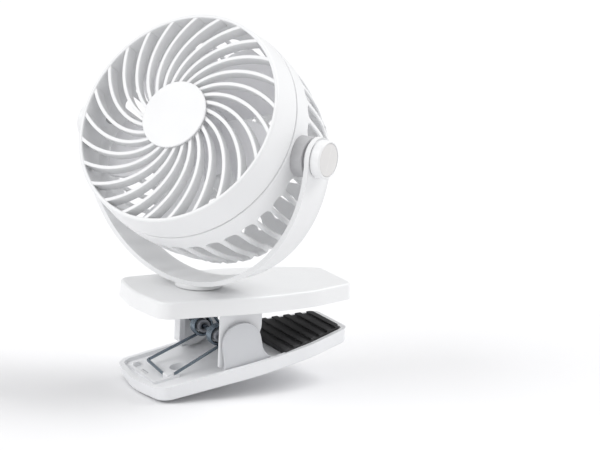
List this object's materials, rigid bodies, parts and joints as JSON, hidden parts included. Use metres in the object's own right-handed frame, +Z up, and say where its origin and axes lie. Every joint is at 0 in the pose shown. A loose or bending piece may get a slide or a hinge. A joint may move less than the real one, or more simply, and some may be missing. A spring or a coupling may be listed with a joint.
{
  "type": "clip-on desk fan",
  "caption": "White clip-on desk fan: round head with swept guard fins in a C-shaped yoke, on a sprung clamp for a desk edge.",
  "frame": {"origin": "middle of the upper jaw's pad, on the flat face that rests on the desk top", "axes": "+Z up, square to the desk top; +Y from the clamp's handles out to the tips of its jaws, over the desk; +X along the clamp's pivot pin"},
  "size_m": [0.1674, 0.171, 0.2327],
  "materials": {
    "white": "satin",
    "warm_grey": "satin",
    "blade": "satin",
    "grey": "matte",
    "dark": "matte",
    "pad_rubber": "matte",
    "steel": "zinc plated",
    "copper": "enamelled winding",
    "board": "satin"
  },
  "bodies": {
    "upper_jaw": {"upper_jaw_shell": "white", "upper_cheek_left": "white", "upper_cheek_right": "white", "upper_jaw_liner": "white", "upper_jaw_pad": "pad_rubber"},
    "lower_jaw": {"lower_jaw_tray": "white", "lower_ear_left": "white", "lower_ear_right": "white", "lower_jaw_pad": "pad_rubber", "pivot_pin": "steel", "spring_sleeve_left": "grey", "spring_sleeve_right": "grey", "clamp_spring": "steel"},
    "yoke": {"yoke_arm": "white", "swivel_screw": "steel", "swivel_washer": "steel", "friction_washer_left": "grey", "friction_washer_right": "grey", "knob_left": "white", "knob_right": "white", "knob_cap_left": "warm_grey", "knob_cap_right": "warm_grey", "pivot_screw_left": "steel", "pivot_screw_right": "steel"},
    "head": {"front_guard": "white", "guard_hub_cap": "white", "rear_housing": "white", "pivot_bush_left": "grey", "pivot_bush_right": "grey", "motor_pod": "white", "motor_can": "steel", "motor_end_cap": "dark", "motor_magnet": "dark", "bearing_front": "steel", "bearing_rear": "steel", "control_board": "board", "tact_switch": "dark", "button_collar": "warm_grey", "power_inlet": "steel", "inlet_tongue": "dark"},
    "impeller": {"impeller": "blade", "motor_shaft": "steel", "motor_rotor": "copper"},
    "button": {"power_button": "warm_grey"}
  },
  "joints": [
    {"name": "jaw_hinge", "type": "hinge", "parent": "upper_jaw", "child": "lower_jaw", "pos_m": [0, -0.051, -0.0182], "axis": [1, 0, 0], "range_deg": [-43, 11.5], "stiffness_Nm_per_rad": 0.8},
    {"name": "swivel", "type": "hinge", "parent": "upper_jaw", "child": "yoke", "pos_m": [0, -0.06, 0.0114], "axis": [0, 0, 1], "range_deg": [-205, 145]},
    {"name": "head_tilt", "type": "hinge", "parent": "yoke", "child": "head", "pos_m": [0, -0.06, 0.1036], "axis": [0.866, 0.5, 0], "range_deg": [-59, 66]},
    {"name": "impeller_spin", "type": "hinge", "parent": "head", "child": "impeller", "pos_m": [0, -0.06, 0.1036], "axis": [0.429, -0.7431, 0.5135], "continuous": true},
    {"name": "button_press", "type": "slide", "parent": "head", "child": "button", "axis": [0.429, -0.7431, 0.5135], "range_m": [0, 0.0012], "stiffness_N_per_m": 400}
  ]
}
